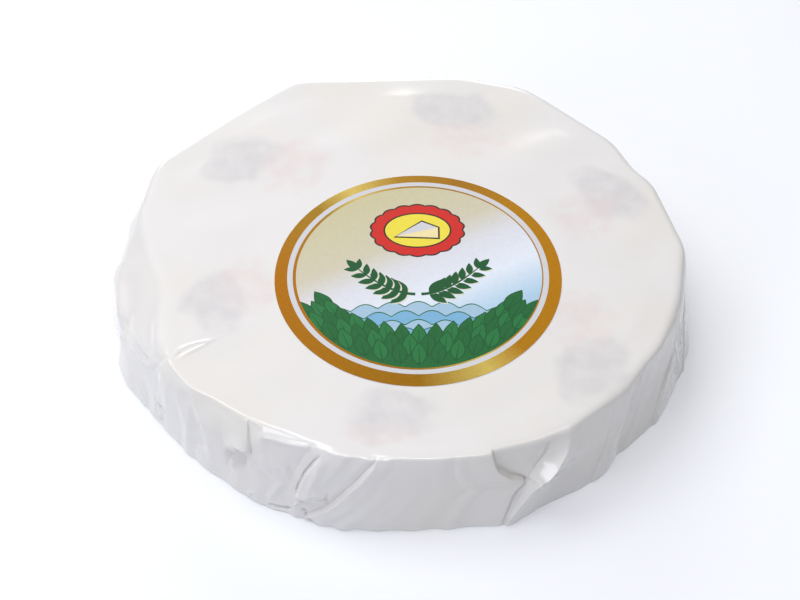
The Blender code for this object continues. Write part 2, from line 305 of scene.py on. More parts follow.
pleat_draw = Random(PLEAT_SEED)
folds = [back_fold(rim, pleat_draw) for rim in BACK_PLEATS]
folds += LEFT_FOLDS + LONG_PLEATS + CORNER_FOLDS + RIGHT_FOLDS
folds.sort(key=lambda fold: fold.path[0][1])
print(len(folds), "folds round the wheel")

# %% [markdown]
# One column of paper
#
# The skin is a grid: columns run from the middle of the top, over the rim, down the wall and under
# to the middle of the sole. A grid keeps the pleats' edges on its own lines, which a sculpted or
# remeshed surface would lose. Each column's profile is a bent line: flat top, bevel, wall, sole.

# %% Profile of a column
# Rows of the top and the sole, as shares of the way out: the top's crowd towards the rim
TOP_ROWS = np.concatenate([
    np.linspace(0.08, 0.54, 4), np.linspace(0.58, 0.84, 8), np.linspace(0.85, 0.985, 17)])
ROUND_ROWS = 8
BEVEL_ROWS = 3
WALL_ROWS = 60
SOLE_ROWS = np.linspace(0.97, 0.05, 18)
# A bend takes up no more than this share of the sides next to it
LONGEST_REACH = 0.45


def bend(before, corner, after, reach_before, reach_after):
    """Points of a rounded corner, a curve from one reach before it to the other after it."""
    corner = np.array(corner)
    back, ahead = np.array(before) - corner, np.array(after) - corner
    start = corner + back * min(reach_before / np.linalg.norm(back), LONGEST_REACH)
    end = corner + ahead * min(reach_after / np.linalg.norm(ahead), LONGEST_REACH)
    t = np.linspace(0, 1, ROUND_ROWS)[:, None]
    return (1 - t) ** 2 * start + 2 * t * (1 - t) * corner + t ** 2 * end


def between(start, end, rows):
    """Points on the straight line between two others, without its ends."""
    return start + (end - start) * np.linspace(0, 1, rows + 2)[1:-1, None]


def profile(rim_angle, foot_angle):
    """Radius and height down one column: rim, bevel, wall and sole edge, before any relief."""
    rim = outline(RIM_CORNERS, rim_angle, RIM_SOFTNESS)
    foot = outline(FOOT_CORNERS, foot_angle, FOOT_SOFTNESS) + crimp(foot_angle)
    out, drop, above_rim, below_rim, above_edge, below_edge = bevel(rim_angle)
    edge = (rim, HEIGHT)
    shoulder = (min(rim + out, foot), HEIGHT - drop)
    ground = (foot, 0.0)
    rim_curve = bend((0.0, HEIGHT), edge, shoulder, above_rim, below_rim)
    shoulder_curve = bend(edge, shoulder, ground, above_edge, below_edge)
    sole_curve = bend(shoulder, ground, (0.0, 0.0), SOLE_ROUNDING, SOLE_ROUNDING)
    slope = between(rim_curve[-1], shoulder_curve[0], BEVEL_ROWS)
    wall = between(shoulder_curve[-1], sole_curve[0], WALL_ROWS)
    return np.concatenate([rim_curve, slope, shoulder_curve, wall, sole_curve])


print("a column has", len(TOP_ROWS) + len(profile(0, 0)) + len(SOLE_ROWS), "points")

# %% [markdown]
# Laying the sheet
#
# Between two folds the columns are spread evenly and share the levels of both. At a fold six
# columns carry the sheet round the pleat: under the edge, back, and over it. Where a pleat has not
# begun yet the six fall together, and a later step welds them.

# %% Values along a fold
# How far a pleat's level reaches over the panel beside it in degrees, and its tuck in millimetres
SWELL = 14.0
TUCK = 0.8
MEAN_RADIUS = 92.0
DEGREES_PER_MM = TURN / (2 * pi * MEAN_RADIUS)


def along(points, down):
    """The values, at shares of the way down, of a line through (down, value) points."""
    return np.interp(down, *zip(*points))


def fall_off(distance):
    """One in the middle, nothing from one on, with straight sides like creased paper."""
    return np.maximum(0.0, 1.0 - np.abs(distance))


def size_of(fold, down):
    """How far a pleat is open, up to one, and negative where it laps over to the right."""
    step = along(fold.right, down) - along(fold.left, down)
    return np.clip(step, -1.0, 1.0)


def lip_of(fold, down):
    """How far the upper edge of a pleat is rounded, in degrees, and negative to the left."""
    return size_of(fold, down) * along(fold.lip, down) * DEGREES_PER_MM


print("a millimetre of wall is", round(DEGREES_PER_MM, 2), "degrees")

# %% Columns between and at the folds


def panel_column(fold, following, share):
    """Angle and level down a column that stands a share of the way from one fold to the next."""
    wrap = TURN if following.path[0][1] < fold.path[0][1] else 0.0
    span = following.path[0][1] + wrap - fold.path[0][1]
    near = fall_off(share * span / min(SWELL, span))
    far = fall_off((1 - share) * span / min(SWELL, span))

    def column(down):
        start = along(fold.path, down) + lip_of(fold, down) * (size_of(fold, down) > 0)
        back = lip_of(following, down) * (size_of(following, down) < 0)
        end = along(following.path, down) + back + wrap
        level = along(fold.right, down) * near + along(following.left, down) * far
        return start * (1 - share) + end * share, level
    return column


def pleat_column(fold, index):
    """Angle and level down one of the layers of paper at a pleat."""
    ahead, behind = fold.layers[index], fold.layers[-1 - index]

    def column(down):
        left, right = along(fold.left, down), along(fold.right, down)
        size = size_of(fold, down)
        tuck, lip, level = [np.where(size > 0, a, b) for a, b in zip(ahead[:3], behind[:3])]
        aside = size * DEGREES_PER_MM * tuck * TUCK + lip * lip_of(fold, down)
        risen = np.minimum(left, right) + np.abs(right - left) * level
        return along(fold.path, down) + aside, risen
    return column


def all_columns():
    """Every column of the sheet in order, each with how deep it is tucked in the sole."""
    for fold, following in zip(folds, folds[1:] + folds[:1]):
        span = (following.path[0][1] - fold.path[0][1]) % TURN
        count = max(3, round(span / fold.step))
        for step in range(count + 1):
            yield panel_column(fold, following, step / count), step / count
        for index, layer in enumerate(following.layers):
            yield pleat_column(following, index), layer.depth


print("sheet of", sum(1 for _ in all_columns()), "columns")

# %% [markdown]
# Down each column the plain profile and the push of the pleats are kept apart. The plain profile
# gives a steady direction outwards, which the hidden layers of a pleat, turned backwards, wouldn't.
# Under the sole the pleats swirl to the middle, as they do when the packer turns the cheese.

# %% Fill the grid
# The sole's pleats turn by this angle to the middle, ever faster, and keep this share of their push
SOLE_SWIRL = -34.0
SWIRL_BEND = 1.4
SOLE_PUSH = 0.35
SOLE_FADE = 4
# How far the push of a pleat is felt on the top
RIM_REACH = 9.0


def lay_column(column, tucked):
    """Rows of angle, radius, height, push, tuck and way along the paper, for one column."""
    rim_angle, foot_angle = float(column(0.0)[0]), float(column(1.0)[0])
    wall = profile(rim_angle, foot_angle)
    wall_angle, level = column(1 - wall[:, 1] / HEIGHT)
    firm = SOLE_PUSH + (1 - SOLE_PUSH) * np.minimum(1.0, wall[:, 1] / SOLE_ROUNDING)
    top, sole = wall[0, 0] * TOP_ROWS, wall[-1, 0] * SOLE_ROWS
    line_radius = np.concatenate([top, wall[:, 0], sole])
    line_height = np.concatenate([np.full(len(top), HEIGHT), wall[:, 1], np.zeros(len(sole))])
    steps = np.hypot(np.diff(line_radius), np.diff(line_height))
    way_down = np.concatenate([[0.0], np.cumsum(steps)])
    sole_angle = wall_angle[-1] + SOLE_SWIRL * (1 - SOLE_ROWS) ** SWIRL_BEND
    top_push = level[0] * np.clip(1 - (wall[0, 0] - top) / RIM_REACH, 0, 1)
    return (
        np.concatenate([np.full(len(top), rim_angle), wall_angle, sole_angle]),
        line_radius,
        line_height,
        np.concatenate([top_push, level * firm, level[-1] * SOLE_PUSH * SOLE_ROWS ** SOLE_FADE]),
        np.full(len(line_radius), tucked),
        way_down - way_down[len(top)],
    )


grid = np.array([lay_column(column, tucked) for column, tucked in all_columns()])
angle, radius, height, push, tuck, way = grid.transpose(1, 0, 2)
foot_row = angle.shape[1] - len(SOLE_ROWS)
print("grid of", angle.shape, "points; the wall is", way[0, foot_row].round(1), "mm of paper")

# %% [markdown]
# Creases
#
# Coated paper doesn't dent like clay. It breaks into flat faces that meet in sharp lines. A crease
# is therefore a tent: highest on its line and falling off straight on both sides, each with its own
# width. The lines of the front are placed where the real sheet shows them, in degrees and in
# millimetres along the paper from the rim. A seeded draw scatters smaller ones all round.

# %% Crease tool
WAY_ROUND = TURN / DEGREES_PER_MM
paper_x = (angle % TURN) / DEGREES_PER_MM
# A line of (angle, way) points, its rise, and its width on each side. On a line that runs down,
# left and right are as seen from outside. On one that runs to the right, left is below it and
# right above. Over the taper at each end the rise fades out.
Crease = namedtuple("Crease", "line rise left right taper", defaults=(3.0,))


def tent(crease):
    """The lift that a crease gives to every point of the sheet."""
    points = np.array([(a / DEGREES_PER_MM, b) for a, b in crease.line], float)
    runs = np.diff(points, axis=0)
    lengths = np.linalg.norm(runs, axis=1)
    nearest = np.full(paper_x.shape, np.inf)
    lift = np.zeros(paper_x.shape)
    done = 0.0
    for (x, y), run, length in zip(points, runs, lengths):
        dx = (paper_x - x + WAY_ROUND / 2) % WAY_ROUND - WAY_ROUND / 2
        dy = way - y
        share = np.clip((dx * run[0] + dy * run[1]) / length ** 2, 0, 1)
        off = np.hypot(dx - share * run[0], dy - share * run[1])
        wide = np.where(dx * run[1] - dy * run[0] < 0, crease.left, crease.right)
        passed = done + share * length
        ends = np.clip(np.minimum(passed, lengths.sum() - passed) / crease.taper, 0, 1)
        lift = np.where(off < nearest, crease.rise * fall_off(off / wide) * ends, lift)
        nearest = np.minimum(nearest, off)
        done += length
    return lift


# %% Creases of the left side
LEFT_CREASES = (
    # The pinched corner on the left: two ridges that meet at the rim, and a line that leaves them
    Crease(((212, -15.5), (210.9, -9), (210.4, -4.5), (210.8, -2), (212.2, 0.3)), 0.5, 0.9, 1.1, 4),
    Crease(((212.1, -15.5), (212.4, -11), (212.5, -5.5), (212.6, -0.5)), 0.45, 1, 0.9, 4),
    Crease(((210.4, 0), (210.3, 4), (208.5, 12.7)), -0.4, 1.6, 1.6),
    # The sloping left shoulder: a long hollow, and the bulge below it
    Crease(((181, 14.5), (190, 18), (195, 19), (199, 18.9)), -1.1, 4, 5.5, 6),
    Crease(((181, 19), (185.2, 20.4), (190.4, 22.8), (194.5, 24.6), (195.5, 31)), 0.6, 3, 1.7, 6),
    Crease(((191.4, 5.9), (197.9, 3.9), (201.8, 4.3), (205.4, 4.7), (208.3, 5.8)), 0.5, 3, 3, 6),
    # A drop-shaped pocket at the end of the hollow
    Crease(((197.4, 17), (197.8, 15), (199.5, 12.6), (202, 11.2), (205, 9.2)), 0.45, 1.5, 1.5, 2),
    Crease(((198.5, 18.3), (202.7, 15.8), (205.2, 13.5), (208, 11.9)), 0.6, 1.6, 1.4, 2),
    Crease(((200, 14.9), (204, 13), (207, 10.6)), -0.7, 1.6, 1.6, 2),
    # A small crumple low on the left
    Crease(((208.6, 28.5), (210, 26.2), (211.3, 25.6)), -1.3, 1.2, 1.2, 1.5),
    Crease(((209, 29.8), (209.8, 33.5)), 1.3, 1.3, 1.3, 1.5),
    # The soft valley left of the front, steep on its right
    Crease(((219.4, 3), (221.2, 10.1), (222.3, 16.3), (223.3, 22.7), (223.5, 30)), -1, 6, 3.5, 4),
)
print(len(LEFT_CREASES), "creases on the left")

# %% Creases of the front
FRONT_CREASES = (
    # The raised edge of the bevel, in the front's left half
    Crease(((238.6, 5.5), (239.5, 5.3), (246, 4.4), (251, 3)), 0.5, 1.3, 1.9, 2.5),
    # The shaded gap beside the first long pleat, and the bright ridge along the second
    Crease(((252.7, 5.6), (251.2, 9.2), (249.2, 15.2), (247.9, 21.3), (246.9, 27.3)),
           -0.5, 0.8, 0.5, 2.5),
    Crease(((264.1, 4.3), (262.9, 8.3), (261.9, 11.3), (259.5, 17.3), (257.1, 23.3), (254.2, 29.3),
            (252.2, 32.3), (250.4, 35.4)), 0.45, 1.3, 1.9, 3),
    # The flap at 237 degrees: its lower edge, and the hollow with a raised streak under it
    Crease(((231.6, 17.4), (233.4, 14.4), (234.2, 12.8), (235.4, 12.4), (237.4, 12.2)),
           1.7, 0.6, 5, 2),
    Crease(((236, 11.5), (235.5, 17), (234.6, 25)), -1.3, 1.8, 3, 5),
    Crease(((234.4, 12.5), (233, 20.6), (231.9, 27)), 1.3, 1.2, 1.6, 4),
    Crease(((232.2, 14.5), (231.4, 20), (230.6, 28)), -1.4, 1.8, 2.2, 5),
    # The panel left of the first long pleat: a soft arch, a streak, and a lifted edge at the foot
    Crease(((239.7, 20.2), (241.4, 17.6), (243.6, 15.8), (246, 15)), 0.55, 7, 6, 2),
    Crease(((244.7, 22.4), (242.9, 26.6), (241.8, 30.8), (240.7, 34.1)), 0.45, 1.8, 1.8, 2),
    Crease(((236, 36), (236.6, 33.4), (237.8, 33.4)), 0.6, 1, 1, 1),
    Crease(((240.8, 36.3), (243.6, 35.6), (246, 35.3)), -0.9, 0.8, 1.2, 1),
    # Between the long pleats: a streak, the flap's lower edge, and the crumple below it
    Crease(((253.6, 4.2), (253.2, 6.5), (251.9, 14.5), (250.6, 21.4), (249.7, 25.4)), 0.5, 2, 2.5),
    Crease(((246.9, 26.2), (247.8, 28), (248.6, 28.9), (249.5, 27.8), (250.6, 26.7), (252.1, 25.3),
            (253.6, 26.5)), 0.9, 0.6, 3.5, 1),
    Crease(((246.6, 32.8), (247.3, 31.4), (248.9, 29.9)), 0.9, 1.2, 1.2, 1),
    Crease(((248.2, 34.9), (249.4, 35.8)), -0.9, 1, 1, 0.5),
    Crease(((249.3, 36.6), (251.2, 37.2)), -0.8, 0.8, 0.8, 0.5),
    Crease(((252.5, 26.8), (254.3, 27.2)), -0.8, 0.9, 0.9, 0.7),
    # A long faint dip on the top behind the front rim
    Crease(((259, -3.4), (266, -5), (282, -5)), -0.15, 2.2, 2.2, 8),
)
print(len(FRONT_CREASES), "creases on the front")

# %% Creases of the right side
RIGHT_CREASES = (
    # A pressed line at the end of the bright face, and a faint one down the right wall
    Crease(((294.6, 17.4), (296.5, 18.2), (297.6, 19.8)), -0.4, 0.6, 0.6, 0.8),
    Crease(((301.3, 17), (301.6, 27.4), (302, 32)), 0.35, 1.4, 1.4),
    # A double line low on the right wall
    Crease(((314.4, 24.7), (313.3, 28.4), (312.6, 31.5)), 0.5, 0.8, 1.6, 2),
    Crease(((315.6, 23), (314.8, 28), (314, 32)), 0.35, 0.8, 1.4, 2),
    # The cluster of creases on the right
    Crease(((342.5, 8.5), (342.7, 14), (342.8, 18)), 1, 1.4, 1.4, 2),
    Crease(((338.8, 12), (339.5, 19.7), (341.3, 28)), 0.7, 1.6, 1.6),
    Crease(((345.6, 25), (343.3, 29), (340.3, 30.4)), 0.6, 1.4, 1.4, 2),
)
lift = sum(tent(crease) for crease in LEFT_CREASES + FRONT_CREASES + RIGHT_CREASES)
print("creases stand", round(lift.max(), 2), "mm out and", round(-lift.min(), 2), "mm in")

# %% Scattered small creases
CREASE_SEED = 5
SMALL_CREASES = 240
SOLE_CREASES = 110
# Where they start, in millimetres of paper from the rim. A power below one draws them downwards
WALL_STRIP = (3.0, 33.0)
WALL_CROWDING = 0.7
SOLE_STRIP = (48.0, 110.0)
# Lean, length, rise, sink and width of each in millimetres, and its second width against the first
SMALL_LEANS = (-9, 5)
SMALL_LENGTHS = (5, 14)
SMALL_RISES = (0.05, 0.22)
SMALL_SINKS = (0.1, 0.4)
SMALL_WIDTHS = (1.4, 4.0)
SIDE_RATIOS = (0.6, 1.6)
# The flat front between these angles is drawn smooth, so its creases are only this share as high
SMOOTH_FACE = (262.0, 292.0)
SMOOTH_SHARE = 0.3


def small_crease(draw, under):
    """A short crease at a random place, on the wall or under the sole."""
    top, bottom = WALL_STRIP
    if under:
        start = draw.uniform(*SOLE_STRIP)
    else:
        start = top + (bottom - top) * draw.random() ** WALL_CROWDING
    lean = draw.uniform(*SMALL_LEANS) * DEGREES_PER_MM
    run = draw.uniform(*SMALL_LENGTHS)
    if under:
        rise = -draw.uniform(*SMALL_SINKS)
    else:
        rise = draw.choice((-1, 1)) * draw.uniform(*SMALL_RISES)
    wide = draw.uniform(*SMALL_WIDTHS)
    first = draw.uniform(0, TURN)
    if not under and SMOOTH_FACE[0] < first < SMOOTH_FACE[1]:
        rise *= SMOOTH_SHARE
    line = ((first, start), (first + lean, start + run))
    return Crease(line, rise, wide, wide * draw.uniform(*SIDE_RATIOS))


draw = Random(CREASE_SEED)
for number in range(SMALL_CREASES + SOLE_CREASES):
    lift += tent(small_crease(draw, number >= SMALL_CREASES))
print(SMALL_CREASES, "small creases on the wall and", SOLE_CREASES, "under the sole")

# %% [markdown]
# The top
#
# Paper over soft cheese is never quite flat. A few long waves, a fraction of a millimetre high,
# break up the light on it. Under the sticker the sheet is pressed smooth, so the waves stop there.

# %% Waves of the top
WAVES = 14
WAVE_LENGTHS = (22.0, 60.0)
WAVE_HEIGHT = 0.07
LABEL_PRESS = 0.2
WAVE_SEED = 3
# From the sticker's middle: where the pressed-smooth paper ends, and over how much it fades
PRESS_END = 62.0
PRESS_FADE = 12.0
# The waves grow over this much paper in from the rim
RIM_FADE = 8.0


def top_waves(x, y):
    """Height of the long waves at a place on the top, in millimetres."""
    draw = Random(WAVE_SEED)
    total = np.zeros(x.shape)
    for _ in range(WAVES):
        heading = draw.uniform(0, 2 * pi)
        number = 2 * pi / draw.uniform(*WAVE_LENGTHS)
        start = draw.uniform(0, 2 * pi)
        total += WAVE_HEIGHT * np.sin(number * (x * cos(heading) + y * sin(heading)) + start)
    return total


x, y = radius * np.cos(np.radians(angle)), radius * np.sin(np.radians(angle))
from_label = np.hypot(x - LABEL_CENTRE[0], y - LABEL_CENTRE[1])
pressed = np.clip((PRESS_END - from_label) / PRESS_FADE, 0, 1)
inside = np.clip(-way / RIM_FADE, 0, 1)
top_lift = inside * (pressed * LABEL_PRESS + (1 - pressed) * top_waves(x, y))
print("the top waves by", round(float(np.ptp(top_lift)), 2), "mm")

# %% [markdown]
# From numbers to a mesh
#
# The lift goes along the plain profile's own normal. Nothing may go below the ground, so under the
# sole each pleat is sunk instead: its panel starts flat on the ground and runs in under the next.

# %% Points of the sheet
# How deep a pleat's innermost layer lies in the sole, and over how much paper it gets there
SOLE_SINK = 1.0
SINK_FADE = 10.0
# Creases run this far in over the top and fade out over the last few millimetres
CREASE_REACH = 18.0
CREASE_FADE = 3.0


def sheet_points():
    """World points of the whole sheet, with lifts and the sunk sole."""
    out_run, down_run = np.gradient(radius, axis=1), np.gradient(height, axis=1)
    length = np.hypot(out_run, down_run)
    normal_out, normal_up = -down_run / length, out_run / length
    sole = np.arange(angle.shape[1]) >= foot_row
    edge_in = np.clip((way - way[:, foot_row - 1:foot_row]) / SINK_FADE, 0, 1) * sole
    raised = lift * np.clip((way + CREASE_REACH) / CREASE_FADE, 0, 1)
    out = radius + push + raised * normal_out
    up = height + raised * normal_up + top_lift + edge_in * SOLE_SINK * tuck
    return to_world(angle, out, np.maximum(up, 0.0))


sheet = sheet_points()
print("the paper is", round(np.ptp(sheet[..., 2]) / MM, 1), "mm high")

# %% Build the paper
# Points closer than the first are welded and edges shorter than the second dissolved. Edges
# that turn by more degrees than the third stay sharp in the shading.
WELD = 0.01 * MM
SLIVER = 0.002 * MM
SHARP_DEGREES = 40


def build_sheet(name, points):
    """A closed mesh object from the grid of points and a middle point at each end."""
    columns, rows = points.shape[:2]
    heights = np.array([points[:, 0, 2].mean() / MM, SOLE_SINK / 2])
    middles = to_world(np.zeros(2), np.zeros(2), heights)
    here = np.arange(columns)[:, None] * rows + np.arange(rows - 1)
    there = np.roll(here, -1, axis=0)
    faces = np.stack([here, here + 1, there + 1, there], axis=-1).reshape(-1, 4).tolist()
    top, bottom = columns * rows, columns * rows + 1
    for a, b in zip(here[:, 0].tolist(), there[:, 0].tolist()):
        faces += [(top, a, b), (bottom, b + rows - 1, a + rows - 1)]
    mesh = bpy.data.meshes.new(name)
    mesh.from_pydata(np.concatenate([points.reshape(-1, 3), middles]).tolist(), [], faces)
    form = bmesh.new()
    form.from_mesh(mesh)
    bmesh.ops.remove_doubles(form, verts=form.verts[:], dist=WELD)
    bmesh.ops.dissolve_degenerate(form, edges=form.edges[:], dist=SLIVER)
    form.to_mesh(mesh)
    form.free()
    mesh.shade_smooth()
    mesh.set_sharp_from_angle(angle=radians(SHARP_DEGREES))
    return put_in_scene(name, mesh)


wrapper = build_sheet("paper_wrapper", sheet)
print("the paper has", len(wrapper.data.polygons), "faces")

# %% [markdown]
# Colours and nodes
#
# A few helpers serve every material. Blender works with linear light, so a colour picked as an
# sRGB hex value is converted once, in one place. Another helper adds a node, sets it up and links
# it. The last turns the size of a pattern on the real thing into the scale of a noise.

# %% Colour and node helpers
# A Mix node keeps sockets for every kind of data. These are the ones for colour.
MIX_A, MIX_B, MIX_RESULT = 6, 7, 2


def linear(hex_colour):
    """Linear RGBA from an sRGB hex value."""
    values = [int(hex_colour[i:i + 2], 16) / 255 for i in (1, 3, 5)]
    light = [v / 12.92 if v <= 0.04045 else ((v + 0.055) / 1.055) ** 2.4 for v in values]
    return (*light, 1.0)


def fill(tree, node, inputs):
    """Fill a node's inputs with values or links. A node given as a value means its first output."""
    for key, value in dict(inputs).items():
        if isinstance(value, bpy.types.Node):
            value = value.outputs[0]
        if isinstance(value, bpy.types.NodeSocket):
            tree.links.new(value, node.inputs[key])
        else:
            node.inputs[key].default_value = value


def add(tree, kind, inputs=(), **settings):
    """Add a shader node, give it its settings and fill its inputs."""
    node = tree.nodes.new("ShaderNode" + kind)
    for key, value in settings.items():
        setattr(node, key, value)
    fill(tree, node, inputs)
    return node


def new_material(name, values):
    """A material, its tree, its shader with plain values set, and the place on the object."""
    material = bpy.data.materials.new(name)
    material.use_nodes = True
    tree = material.node_tree
    shader = tree.nodes["Principled BSDF"]
    fill(tree, shader, values)
    return material, tree, shader, add(tree, "TexCoord").outputs["Object"]


def patches(millimetres):
    """The scale of a noise whose patches are about this wide."""
    return 1 / (millimetres * MM)


print("a mid grey of #808080 is", round(linear("#808080")[0], 3), "in linear light")

# %% [markdown]
# White coated paper
#
# Cheese paper is a thin bleached sheet with a film of wax or plastic rolled on. The film gives a
# broad soft shine with bright lines on every sharp fold. The sheet is thin, so damp patches and
# what lies under it show through as soft smudges. The shine is a moderate roughness under a thin
# clear coat. The smudges are blurred ovals in the material, each placed by angle and radius.

# %% Show-through smudges
# Angle, radius, half length, half width and turn of each smudge
SMUDGES = (
    (142, 73, 16, 12, 40), (75, 73, 19, 10, -8), (21, 76, 16, 11, -35),
    (319, 80, 16, 12, 50), (267, 71, 16, 12, -4), (199, 66, 11, 14, 10),
)
# A paler, pinkish patch lies beside each
BLUSHES = (
    (132.5, 57, 14, 13, 40), (66, 60, 19, 10, -6), (16, 64, 12, 15, -20), (332, 64, 13, 14, 30),
    (264.8, 79, 14, 5, -3), (196, 54, 10, 14, 10),
)
# Each set with its tint, the mottle values between which it comes up, and how much of it then shows
SHOW_THROUGH = (
    (SMUDGES, "#cbc8ca", (0.3, 0.7), (0.4, 0.9)), (BLUSHES, "#dacccb", (0.35, 0.65), (0.1, 0.6)),
)
# A smudge reaches this far down through the paper, and its edge wanders with patches this wide
SMUDGE_DEPTH = 12.0
EDGE_PATCH = 11.1
# Its edge fades between these, counted in half widths with the wander added
SMUDGE_END = 1.6
SMUDGE_FULL = 1.15


def smudge_field(tree, place, smudges):
    """A value that is one inside the show-through smudges and fades out at their blurred edges."""
    wander = add(tree, "TexNoise", {"Vector": place, "Scale": patches(EDGE_PATCH), "Detail": 2.0})
    field = 0.0
    for heading, reach, long, wide, turned in smudges:
        oval = add(tree, "Mapping", {
            "Vector": place, "Location": tuple(to_world(heading, reach, HEIGHT)),
            "Rotation": (0, 0, radians(turned)),
            "Scale": (long * MM, wide * MM, SMUDGE_DEPTH * MM)}, vector_type="TEXTURE")
        away = add(tree, "VectorMath", {0: oval}, operation="LENGTH").outputs["Value"]
        rough = add(tree, "Math", {0: wander, 1: away})
        inside = add(tree, "MapRange", {
            "Value": rough, "From Min": SMUDGE_END, "From Max": SMUDGE_FULL},
            interpolation_type="SMOOTHSTEP")
        field = add(tree, "Math", {0: inside, 1: field}, operation="MAXIMUM")
    return field


print(len(SMUDGES), "grey and", len(BLUSHES), "pinkish smudges show through")

# %% Coated paper
PAPER_WHITE = "#dddbda"
PAPER_WARM = "#dcd9d4"


def coated_paper():
    """White paper with a rolled-on film: satin, faintly mottled, with soft show-through."""
    material, tree, shader, place = new_material("coated_paper", {
        "IOR": 1.5, "Coat Weight": 1.0, "Coat Roughness": 0.1, "Coat IOR": 1.5,
    })
    # Warm patches about 45 mm across, where the sheet touches the cheese
    cloud = add(tree, "TexNoise", {"Vector": place, "Scale": patches(45.5), "Detail": 3.0})
    warm = add(tree, "MapRange", {"Value": cloud, "From Min": 0.45, "From Max": 0.7})
    colour = add(tree, "Mix", {
        "Factor": warm, MIX_A: linear(PAPER_WHITE), MIX_B: linear(PAPER_WARM)}, data_type="RGBA")
    # Mottle inside the smudges, about 6 mm across
    mottle = add(tree, "TexNoise", {"Vector": place, "Scale": patches(5.88), "Detail": 4.0})
    for smudges, tint, (low, high), (least, most) in SHOW_THROUGH:
        depth = add(tree, "MapRange", {
            "Value": mottle, "From Min": low, "From Max": high, "To Min": least, "To Max": most})
        shown = add(tree, "Math", {
            0: smudge_field(tree, place, smudges), 1: depth}, operation="MULTIPLY")
        colour = add(tree, "Mix", {
            "Factor": shown, MIX_A: colour.outputs[MIX_RESULT], MIX_B: linear(tint)},
            data_type="RGBA")
    # The film is a little thicker here and there, over some 15 mm, which varies its shine
    film = add(tree, "TexNoise", {"Vector": place, "Scale": patches(15.4), "Detail": 2.0})
    shine = add(tree, "MapRange", {"Value": film, "To Min": 0.4, "To Max": 0.55})
    # Fibres are 0.03 mm wide. They are drawn 1 mm coarse, as finer ones don't show from here
    fibre = add(tree, "TexNoise", {"Vector": place, "Scale": patches(1.0), "Detail": 3.0})
    grain = add(tree, "Bump", {"Height": fibre, "Distance": 0.03 * MM, "Strength": 0.6})
    slack = add(tree, "Bump", {
        "Height": film, "Distance": 0.5 * MM, "Strength": 0.5, "Normal": grain})
    fill(tree, shader, {
        "Base Color": colour.outputs[MIX_RESULT], "Roughness": shine, "Normal": slack})
    return material


wrapper.data.materials.append(coated_paper())
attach(wrapper, "root")
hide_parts("wrapped_brie")
print("the paper's material has", len(wrapper.data.materials[0].node_tree.nodes), "nodes")

# %% [markdown]
# Inks of the sticker
#
# The sticker is art paper, printed and varnished. Ink soaks in a little unevenly, so each colour is
# two near tones mixed by a fine noise, under the same thin gloss. The rings are gold ink, which
# holds metal flakes: part mirror, part paint. Round each ring its colour carries painted
# highlights, pale streaks where a shiny ring would catch the light, and painted shade that darkens
# its front.

# %% Plain inks
VARNISHED = {
    "Roughness": 0.42, "IOR": 1.5, "Specular IOR Level": 0.3,
    "Coat Weight": 0.08, "Coat Roughness": 0.2,
}
# Ink mottle is about 0.2 mm. It is drawn 1.5 mm coarse to show at this distance
INK_MOTTLE = {"Scale": patches(1.54), "Detail": 4.0}


def ink(name, colour, tone):
    """Printed, varnished ink: an even colour that drifts to a near tone, with a soft gloss."""
    material, tree, shader, place = new_material(name, VARNISHED)
    mottle = add(tree, "TexNoise", {"Vector": place, **INK_MOTTLE})
    mixed = add(tree, "Mix", {
        "Factor": mottle, MIX_A: linear(colour), MIX_B: linear(tone)}, data_type="RGBA")
    bump = add(tree, "Bump", {"Height": mottle, "Distance": 0.02 * MM, "Strength": 0.5})
    fill(tree, shader, {"Base Color": mixed.outputs[MIX_RESULT], "Normal": bump})
    return material


print("the inks are varnished to a roughness of", VARNISHED["Roughness"])

# %% Gold ink
# Share of a turn from the sticker's left, and the gold there. The two pale tones are painted
# highlights, and the darkest tone, at the front, is painted shade
GOLD_AND_PAINTED_SHEEN_STOPS = (
    (0.0, "#ac6c07"), (0.12, "#a46c0a"), (0.25, "#986a0a"), (0.33, "#cdb45a"), (0.38, "#b07a10"),
    (0.5, "#b67a08"), (0.62, "#b27c12"), (0.7, "#a0701a"), (0.77, "#a87c20"), (0.83, "#cfb660"),
    (0.88, "#a07a20"), (1.0, "#ac6c07"),
)
FLAKE_DRIFT = 0.15


def colour_by_blend(tree, shader, share, stops, flecks, drift):
    """Colour a shader by a blend of tones, with painted highlights and shade on the gold, paler and
    darker by the drift in its flecks.
    """
    blend = add(tree, "ValToRGB", {"Fac": share})
    tones = blend.color_ramp.elements
    for _ in stops[2:]:
        tones.new(1.0)
    for tone, (where, colour) in zip(tones, stops):
        tone.position = where
        tone.color = linear(colour)
    shade = add(tree, "MapRange", {"Value": flecks, "To Min": 1 - drift, "To Max": 1 + drift})
    fill(tree, shader, {
        "Base Color": add(tree, "VectorMath", {0: blend, "Scale": shade}, operation="SCALE")})


def gold_ink(centre):
    """Gold ink: metal flakes in varnish, with pale painted highlights and painted shade round the
    ring.
    """
    material, tree, shader, place = new_material("gold_ink", {
        "Metallic": 0.35, "Roughness": 0.4, "Specular IOR Level": 0.15,
        "Coat Weight": 0.05, "Coat Roughness": 0.2,
    })
    around = add(tree, "Mapping", {"Vector": place, "Location": centre}, vector_type="TEXTURE")
    share = add(tree, "TexGradient", {"Vector": around}, gradient_type="RADIAL").outputs["Fac"]
    # Flakes are about 0.05 mm. They are drawn 0.7 mm coarse, which is two pixels from here
    flakes = add(tree, "TexNoise", {"Vector": place, "Scale": patches(0.714), "Detail": 2.0})
    colour_by_blend(tree, shader, share, GOLD_AND_PAINTED_SHEEN_STOPS, flakes, FLAKE_DRIFT)
    return material


print(len(GOLD_AND_PAINTED_SHEEN_STOPS), "tones round the gold ring")

# %% Tinted ground
# Share of the way from the upper left to the lower right, and the tint there
SKY_STOPS = (
    (0.0, "#c0b994"), (0.3, "#c4bea8"), (0.44, "#cfd0d8"), (0.62, "#d6dde8"), (0.8, "#a6c4da"),
    (1.0, "#82b0cc"),
)
SKY_HEADING = -62
SKY_DRIFT = 0.06


